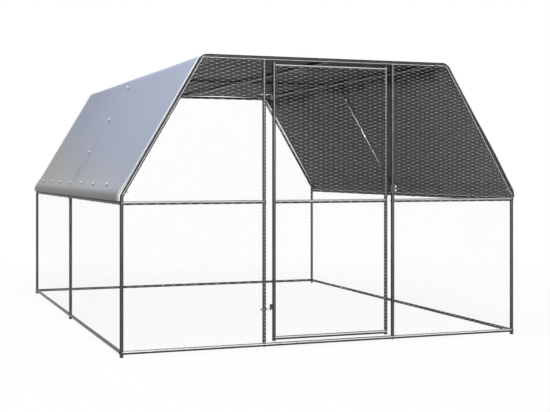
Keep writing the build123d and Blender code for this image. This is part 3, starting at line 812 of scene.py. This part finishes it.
for end, row in (("front", 0), ("rear", len(cloth_rows) - 1)):
    roll = placed_grid(f"cover_edge_roll_{end}", len(cloth_line), ROLL_SIDES,
                       lambda i, j, row=row: roll_spot(row, i, j))
    dress(roll, edge_highlight_cloth, backing)
    # Painted highlight: faces of the roll that look out get the pale cloth, the others the shade-painted inner
    # cloth.
    for face in roll.data.polygons:
        round_it = face.index // (len(cloth_line) - 1)
        outward = math.cos(2 * math.pi * (round_it + 0.5) / (ROLL_SIDES - 1))
        face.material_index = 0 if outward > HIGHLIGHT_ABOVE else 1
    bpy.ops.object.mode_set(mode="EDIT")
    bpy.ops.mesh.select_all(action="SELECT")
    bpy.ops.mesh.remove_doubles(threshold=0.00001)
    bpy.ops.mesh.normals_make_consistent(inside=False)
    bpy.ops.object.mode_set(mode="OBJECT")
    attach(roll, "frame")

# Cover ties
# A loop of dark elastic cord and a white moulded ball at each eyelet. The ball sits outside, the cord goes
# through the eyelet and hooks round the tube behind.
CORD_RADIUS = 0.002
CORD_DROP = 0.025
BALL_RADIUS = 0.0104
BALL_RISE = 0.0273
CAP_SLOPE = 0.93
CAP_RIM = 0.0003
CAP_FLATNESS = 0.72
HOOK = 0.0152
EAVE_RAIL = 1.016

# Elastic cord: matt, nearly black, with the slanting ribs of its plait, about 2.3 mm apart.
PLAIT_WIDTH = 0.002267
PLAIT_WAVES = 2 * math.pi / (10 * math.sqrt(3)) / PLAIT_WIDTH
elastic, tree = bare_material("dark_elastic_cord")
place = add(tree, "ShaderNodeTexCoord")
plait = add(tree, "ShaderNodeTexWave", {"Vector": place.outputs["Object"]},
            {"Scale": PLAIT_WAVES, "Distortion": 2.0}, bands_direction="DIAGONAL")
tone = add(tree, "ShaderNodeValToRGB", {"Fac": plait.outputs["Fac"]})
tone.color_ramp.elements[0].color = linear("#343436")
tone.color_ramp.elements[1].color = linear("#4C4C4F")
relief = add(tree, "ShaderNodeBump", {"Height": plait.outputs["Fac"]}, {"Strength": 0.4, "Distance": 0.0003})
shader = add(tree, "ShaderNodeBsdfPrincipled", {"Base Color": tone.outputs[0], "Normal": relief.outputs[0]},
             {"Roughness": 0.75})
add(tree, "ShaderNodeOutputMaterial", {"Surface": shader.outputs[0]})

# Moulded nylon: milky white with a soft gloss and faint flow marks, about 3 mm across.
FLOW_MARK = 0.003333
nylon, tree = bare_material("white_moulded_nylon")
place = add(tree, "ShaderNodeTexCoord")
cloud = add(tree, "ShaderNodeTexNoise", {"Vector": place.outputs["Object"]},
            {"Scale": 1 / FLOW_MARK, "Detail": 2.0})
tone = add(tree, "ShaderNodeValToRGB", {"Fac": cloud.outputs["Fac"]})
tone.color_ramp.elements[0].color = linear("#DCDCDA")
tone.color_ramp.elements[1].color = linear("#F0F0EE")
shader = add(tree, "ShaderNodeBsdfPrincipled", {"Base Color": tone.outputs[0]}, {"Roughness": 0.4})
add(tree, "ShaderNodeOutputMaterial", {"Surface": shader.outputs[0]})


def cord_piece(points):
    """A cord along points, smooth between them."""
    line = bpy.data.curves.new("tie_cord", "CURVE")
    line.dimensions = "3D"
    line.bevel_depth = CORD_RADIUS
    line.bevel_resolution = 1
    line.resolution_u = 4
    line.use_fill_caps = True
    spline = line.splines.new("NURBS")
    spline.points.add(len(points) - 1)
    for target, point in zip(spline.points, points):
        target.co = (*point, 1)
    spline.use_endpoint_u = True
    spline.order_u = 3
    piece = bpy.data.objects.new("tie_cord", line)
    bpy.context.collection.objects.link(piece)
    pick(piece)
    bpy.ops.object.convert(target="MESH")
    return bpy.context.object


# The ball is pressed flat at both ends of its bore.
deselect()
bpy.ops.mesh.primitive_uv_sphere_add(segments=16, ring_count=10, radius=BALL_RADIUS)
ball = bpy.context.object
bpy.ops.object.mode_set(mode="EDIT")
bpy.ops.mesh.select_all(action="DESELECT")
bpy.ops.object.mode_set(mode="OBJECT")
for face in ball.data.polygons:
    face.select = abs(face.normal.z) > CAP_SLOPE
bpy.ops.object.mode_set(mode="EDIT")
bpy.ops.mesh.inset(thickness=CAP_RIM)
bpy.ops.transform.resize(value=(1, 1, CAP_FLATNESS))
bpy.ops.object.mode_set(mode="OBJECT")
bpy.ops.object.shade_smooth()
cords = []
balls = []
for side in (-1, 1):
    out = Vector((side * slope_out.x, 0, slope_out.y))
    up = Vector((-side * slope_down.x, 0, -slope_down.y))
    foot = Vector((side * HALF_WIDTH, 0, BEND_AXIS))
    inward = Vector((-side * HOOK, 0, 0))
    hook_up = Vector((0, 0, HOOK))
    along_y = Vector((0, HOOK, 0))
    head = out * (BALL_RISE + BALL_RADIUS)
    routes = []
    for tie in eave_ties:
        eyelet = foot + up * TIE_REACH + Vector((0, tie, 0))
        rail = Vector((side * HALF_WIDTH, tie, EAVE_RAIL))
        routes.append((eyelet, [eyelet + head, eyelet - out * CORD_DROP, rail + inward + hook_up,
                                rail + inward - hook_up, rail - hook_up]))
    for tie in bow_ties:
        eyelet = foot + up * ((TOP_AXIS - BEND_AXIS) / slope_out.x - tie) + Vector((0, BOW_TIE_Y, 0))
        routes.append((eyelet, [eyelet + head, eyelet, eyelet - out * HOOK, eyelet - out * HOOK - along_y * 2]))
    for eyelet, route in routes:
        cords.append(cord_piece(route))
        knob = copy_of(ball)
        knob.location = eyelet + out * BALL_RISE
        knob.rotation_euler = out.to_track_quat("Z", "Y").to_euler()
        settle(knob)
        balls.append(knob)
bpy.data.objects.remove(ball)
for pieces, name, material in ((cords, "cover_tie_cords", elastic), (balls, "cover_tie_balls", nylon)):
    ties = join(pieces, name)
    settle(ties)
    bpy.ops.object.shade_smooth()
    dress(ties, material)
    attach(ties, "frame")
    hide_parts("cover_ties")

# Cover eyelets
# Pressed aluminium rings in two halves, closed through the cloth. The CAD rings stay and get the finish:
# a light grey metal with a soft gleam round each hole.
eyelet_metal = galvanised_steel("pressed_aluminium_eyelet", "#85878A", "#9A9C9E", 0.36)
dress(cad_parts["cover_eyelets"], eyelet_metal)
